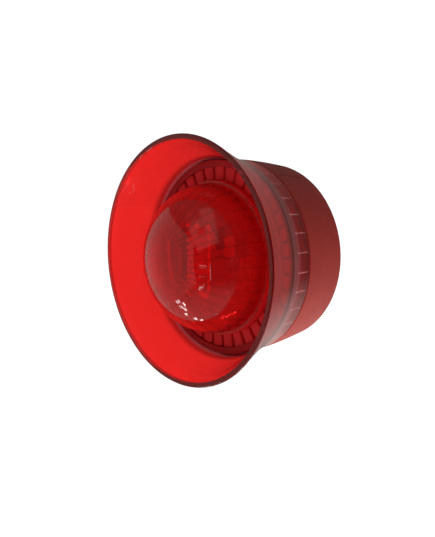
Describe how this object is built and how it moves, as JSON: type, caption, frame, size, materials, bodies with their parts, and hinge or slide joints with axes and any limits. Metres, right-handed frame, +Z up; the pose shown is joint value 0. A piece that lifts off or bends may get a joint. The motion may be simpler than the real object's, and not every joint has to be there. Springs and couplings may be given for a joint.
{
  "type": "horn strobe",
  "caption": "Wall sounder with strobe: round base, twist-on head with a clear red horn round a domed strobe lens.",
  "frame": {"origin": "centre of the base's back face, on the wall plane", "axes": "+Z up, -Y out of the wall along the horn's axis, +X to the right seen from the front"},
  "size_m": [0.118, 0.0735, 0.118],
  "materials": {
    "base_red": "satin",
    "clear_red": "clear polycarbonate",
    "deep_red": "gloss",
    "dark_plastic": "matte",
    "white_plastic": "satin",
    "board_green": "solder mask",
    "board_white": "white solder mask",
    "black_plastic": "matte",
    "blue_plastic": "satin",
    "steel": "zinc plated",
    "brass": "bright",
    "silvered": "mirror bright",
    "tube_glass": "clear",
    "rubber": "matte",
    "copper": "enamelled wire",
    "ceramic": "unglazed"
  },
  "bodies": {
    "base": {"cable_grommet": "rubber", "contact_carrier": "black_plastic", "contact_spring_1": "brass", "contact_spring_2": "brass", "contact_spring_3": "brass", "contact_spring_4": "brass", "terminal_block": "black_plastic", "terminal_screw_1": "steel", "terminal_screw_2": "steel", "terminal_screw_3": "steel", "terminal_screw_4": "steel", "wall_base": "base_red"},
    "head": {"board_header": "black_plastic", "board_post_1": "white_plastic", "board_post_2": "white_plastic", "board_post_3": "white_plastic", "charging_coil": "copper", "contact_pad_1": "brass", "contact_pad_2": "brass", "contact_pad_3": "brass", "contact_pad_4": "brass", "controller_chip": "black_plastic", "cover_screw_1": "steel", "cover_screw_2": "steel", "cover_screw_3": "steel", "dip_switch": "blue_plastic", "dome_lens": "clear_red", "flash_capacitor": "black_plastic", "flash_tube": "tube_glass", "head_chassis": "dark_plastic", "horn_shell": "clear_red", "main_board": "board_green", "piezo_ceramic": "ceramic", "piezo_disc": "brass", "rear_cover": "dark_plastic", "reflector": "silvered", "resonator_cap": "white_plastic", "seal_ring": "rubber", "strobe_board": "board_white", "throat_ring": "deep_red", "trigger_coil": "copper", "tube_cap_1": "steel", "tube_cap_2": "steel", "volume_trimmer": "blue_plastic"},
    "lock_screw": {"lock_screw": "steel"},
    "volume_rotor": {"volume_rotor": "white_plastic"},
    "dip_lever_1": {"dip_lever_1": "white_plastic"},
    "dip_lever_2": {"dip_lever_2": "white_plastic"},
    "dip_lever_3": {"dip_lever_3": "white_plastic"},
    "dip_lever_4": {"dip_lever_4": "white_plastic"},
    "dip_lever_5": {"dip_lever_5": "white_plastic"},
    "dip_lever_6": {"dip_lever_6": "white_plastic"}
  },
  "joints": [
    {"name": "head_twist", "type": "hinge", "parent": "base", "child": "head", "pos_m": [0, -0.0261, 0], "axis": [0, -1, 0], "range_deg": [0, 20]},
    {"name": "lock_screw_turn", "type": "hinge", "parent": "base", "child": "lock_screw", "pos_m": [0.01276, -0.012, 0.03928], "axis": [0.309, 0, 0.9511], "range_deg": [0, 1080]},
    {"name": "volume_turn", "type": "hinge", "parent": "head", "child": "volume_rotor", "pos_m": [0, -0.0154, -0.009], "axis": [0, -1, 0], "range_deg": [-120, 120]},
    {"name": "dip_lever_1_slide", "type": "slide", "parent": "head", "child": "dip_lever_1", "axis": [0, 0, 1], "range_m": [0, 0.0017]},
    {"name": "dip_lever_2_slide", "type": "slide", "parent": "head", "child": "dip_lever_2", "axis": [0, 0, 1], "range_m": [0, 0.0017]},
    {"name": "dip_lever_3_slide", "type": "slide", "parent": "head", "child": "dip_lever_3", "axis": [0, 0, 1], "range_m": [0, 0.0017]},
    {"name": "dip_lever_4_slide", "type": "slide", "parent": "head", "child": "dip_lever_4", "axis": [0, 0, 1], "range_m": [0, 0.0017]},
    {"name": "dip_lever_5_slide", "type": "slide", "parent": "head", "child": "dip_lever_5", "axis": [0, 0, 1], "range_m": [0, 0.0017]},
    {"name": "dip_lever_6_slide", "type": "slide", "parent": "head", "child": "dip_lever_6", "axis": [0, 0, 1], "range_m": [0, 0.0017]}
  ]
}
